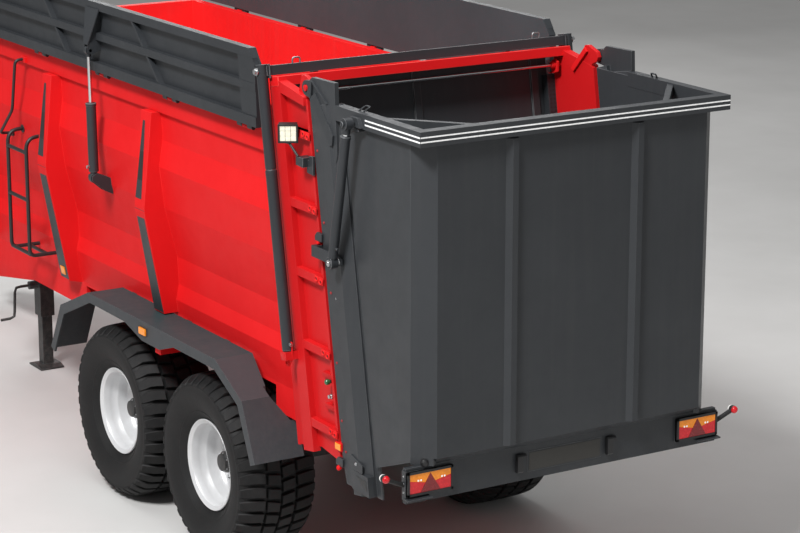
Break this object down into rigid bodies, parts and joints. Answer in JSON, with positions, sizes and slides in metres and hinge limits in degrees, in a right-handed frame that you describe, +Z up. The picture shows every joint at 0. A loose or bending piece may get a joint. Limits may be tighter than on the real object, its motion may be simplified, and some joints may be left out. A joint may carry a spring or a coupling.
{
  "type": "manure spreader",
  "caption": "Tandem-axle manure spreader with a red load body, folding side extensions, a lifting gate and a grey top-hinged rear hood over upright beaters.",
  "frame": {"origin": "on the ground under the middle of the machine, half way between the hitch eye and the rear of the hood, on its centre line", "axes": "+X forwards to the hitch eye, +Y to the left-hand side of the machine, +Z up"},
  "size_m": [8.828, 2.444, 3.385],
  "materials": {
    "red": "gloss red paint",
    "grey": "satin anthracite paint",
    "black": "satin black paint",
    "rim": "silver-white wheel paint",
    "tyre": "matt rubber",
    "steel": "bare steel",
    "chrome": "ground piston rod"
  },
  "bodies": {
    "frame": {"chassis_frame": "red", "side_wall_left": "red", "side_wall_right": "red", "front_wall": "red", "load_floor": "red", "floor_scraper": "steel", "drawbar": "red", "hitch_eye": "black", "jack_housing": "black", "axle_front": "black", "axle_rear": "black", "spring_pack_left": "black", "spring_pack_right": "black", "mudguard_left": "grey", "mudguard_right": "grey", "spreader_side_left": "red", "spreader_side_right": "red", "spreader_top_beam": "red", "spreader_floor": "red", "beater_gearbox": "grey", "driveline_guard": "black", "gate_cylinder_left": "grey", "gate_cylinder_right": "grey", "ladder": "black"},
    "wheel_front_left": {"tyre_front_left": "tyre", "rim_front_left": "rim"},
    "wheel_front_right": {"tyre_front_right": "tyre", "rim_front_right": "rim"},
    "wheel_rear_left": {"tyre_rear_left": "tyre", "rim_rear_left": "rim"},
    "wheel_rear_right": {"tyre_rear_right": "tyre", "rim_rear_right": "rim"},
    "beater_left": {"beater_left": "grey"},
    "beater_right": {"beater_right": "grey"},
    "gate": {"gate_panel": "grey", "gate_crossbar": "grey"},
    "hood": {"hood_rear_wall": "grey", "hood_side_left": "grey", "hood_side_right": "grey", "light_bar": "grey"},
    "hood_cylinder_left": {"hood_cylinder_left": "grey"},
    "hood_piston_rod_left": {"hood_piston_rod_left": "grey"},
    "hood_cylinder_right": {"hood_cylinder_right": "grey"},
    "hood_piston_rod_right": {"hood_piston_rod_right": "grey"},
    "side_extension_left": {"side_extension_left": "grey"},
    "extension_cylinder_left": {"extension_cylinder_left": "grey"},
    "extension_piston_rod_left": {"extension_piston_rod_left": "chrome"},
    "side_extension_right": {"side_extension_right": "grey"},
    "extension_cylinder_right": {"extension_cylinder_right": "grey"},
    "extension_piston_rod_right": {"extension_piston_rod_right": "chrome"},
    "jack_leg": {"jack_leg": "black"}
  },
  "joints": [
    {"name": "wheel_front_left_spin", "type": "hinge", "parent": "frame", "child": "wheel_front_left", "pos_m": [-0.632, 0.939, 0.6], "axis": [0, 1, 0], "continuous": true},
    {"name": "wheel_front_right_spin", "type": "hinge", "parent": "frame", "child": "wheel_front_right", "pos_m": [-0.632, -0.939, 0.6], "axis": [0, 1, 0], "continuous": true},
    {"name": "wheel_rear_left_spin", "type": "hinge", "parent": "frame", "child": "wheel_rear_left", "pos_m": [-1.978, 0.939, 0.6], "axis": [0, 1, 0], "continuous": true},
    {"name": "wheel_rear_right_spin", "type": "hinge", "parent": "frame", "child": "wheel_rear_right", "pos_m": [-1.978, -0.939, 0.6], "axis": [0, 1, 0], "continuous": true},
    {"name": "beater_left_spin", "type": "hinge", "parent": "frame", "child": "beater_left", "pos_m": [-3.1036, 0.492, 3.2312], "axis": [0.1695, 0, 0.9855], "continuous": true},
    {"name": "beater_right_spin", "type": "hinge", "parent": "frame", "child": "beater_right", "pos_m": [-3.1036, -0.492, 3.2312], "axis": [0.1695, 0, 0.9855], "continuous": true},
    {"name": "gate_lift", "type": "slide", "parent": "frame", "child": "gate", "axis": [0.1695, 0, 0.9855], "range_m": [0, 0.95]},
    {"name": "hood_hinge", "type": "hinge", "parent": "frame", "child": "hood", "pos_m": [-3.143, 0, 3.238], "axis": [0, 1, 0], "range_deg": [0, 65]},
    {"name": "hood_cylinder_left_tilt", "type": "hinge", "parent": "frame", "child": "hood_cylinder_left", "pos_m": [-3.56, 1.132, 2.287], "axis": [0, 1, 0], "range_deg": [0, 14.6]},
    {"name": "hood_rod_left_stroke", "type": "slide", "parent": "hood_cylinder_left", "child": "hood_piston_rod_left", "axis": [-0.2039, 0, 0.979], "range_m": [0, 0.583]},
    {"name": "hood_cylinder_right_tilt", "type": "hinge", "parent": "frame", "child": "hood_cylinder_right", "pos_m": [-3.56, -1.132, 2.287], "axis": [0, 1, 0], "range_deg": [0, 14.6]},
    {"name": "hood_rod_right_stroke", "type": "slide", "parent": "hood_cylinder_right", "child": "hood_piston_rod_right", "axis": [-0.2039, 0, 0.979], "range_m": [0, 0.583]},
    {"name": "side_extension_left_fold", "type": "hinge", "parent": "frame", "child": "side_extension_left", "pos_m": [-0.288, 1.072, 2.893], "axis": [-1, 0, 0], "range_deg": [0, 100]},
    {"name": "extension_cylinder_left_tilt", "type": "hinge", "parent": "frame", "child": "extension_cylinder_left", "pos_m": [-0.288, 1.125, 2.174], "axis": [-1, 0, 0], "range_deg": [0, 8]},
    {"name": "extension_rod_left_stroke", "type": "slide", "parent": "extension_cylinder_left", "child": "extension_piston_rod_left", "axis": [0, 0.0147, 0.9999], "range_m": [-0.2503, 0]},
    {"name": "side_extension_right_fold", "type": "hinge", "parent": "frame", "child": "side_extension_right", "pos_m": [-0.288, -1.072, 2.893], "axis": [1, 0, 0], "range_deg": [0, 100]},
    {"name": "extension_cylinder_right_tilt", "type": "hinge", "parent": "frame", "child": "extension_cylinder_right", "pos_m": [-0.288, -1.125, 2.174], "axis": [1, 0, 0], "range_deg": [0, 8]},
    {"name": "extension_rod_right_stroke", "type": "slide", "parent": "extension_cylinder_right", "child": "extension_piston_rod_right", "axis": [0, -0.0147, 0.9999], "range_m": [-0.2503, 0]},
    {"name": "jack_leg_slide", "type": "slide", "parent": "frame", "child": "jack_leg", "axis": [0, 0, 1], "range_m": [0, 0.4]}
  ],
  "couplings": [
    {"joint": "beater_right_spin", "follows": "beater_left_spin", "ratio": -1},
    {"joint": "hood_cylinder_left_tilt", "follows": "hood_hinge", "ratio": 0.224},
    {"joint": "hood_rod_left_stroke", "follows": "hood_hinge", "m_per_rad": 0.51319},
    {"joint": "hood_cylinder_right_tilt", "follows": "hood_hinge", "ratio": 0.224},
    {"joint": "hood_rod_right_stroke", "follows": "hood_hinge", "m_per_rad": 0.51319},
    {"joint": "extension_cylinder_left_tilt", "follows": "side_extension_left_fold", "ratio": 0.0798},
    {"joint": "extension_rod_left_stroke", "follows": "side_extension_left_fold", "m_per_rad": -0.1433},
    {"joint": "extension_cylinder_right_tilt", "follows": "side_extension_right_fold", "ratio": 0.0798},
    {"joint": "extension_rod_right_stroke", "follows": "side_extension_right_fold", "m_per_rad": -0.1433}
  ]
}
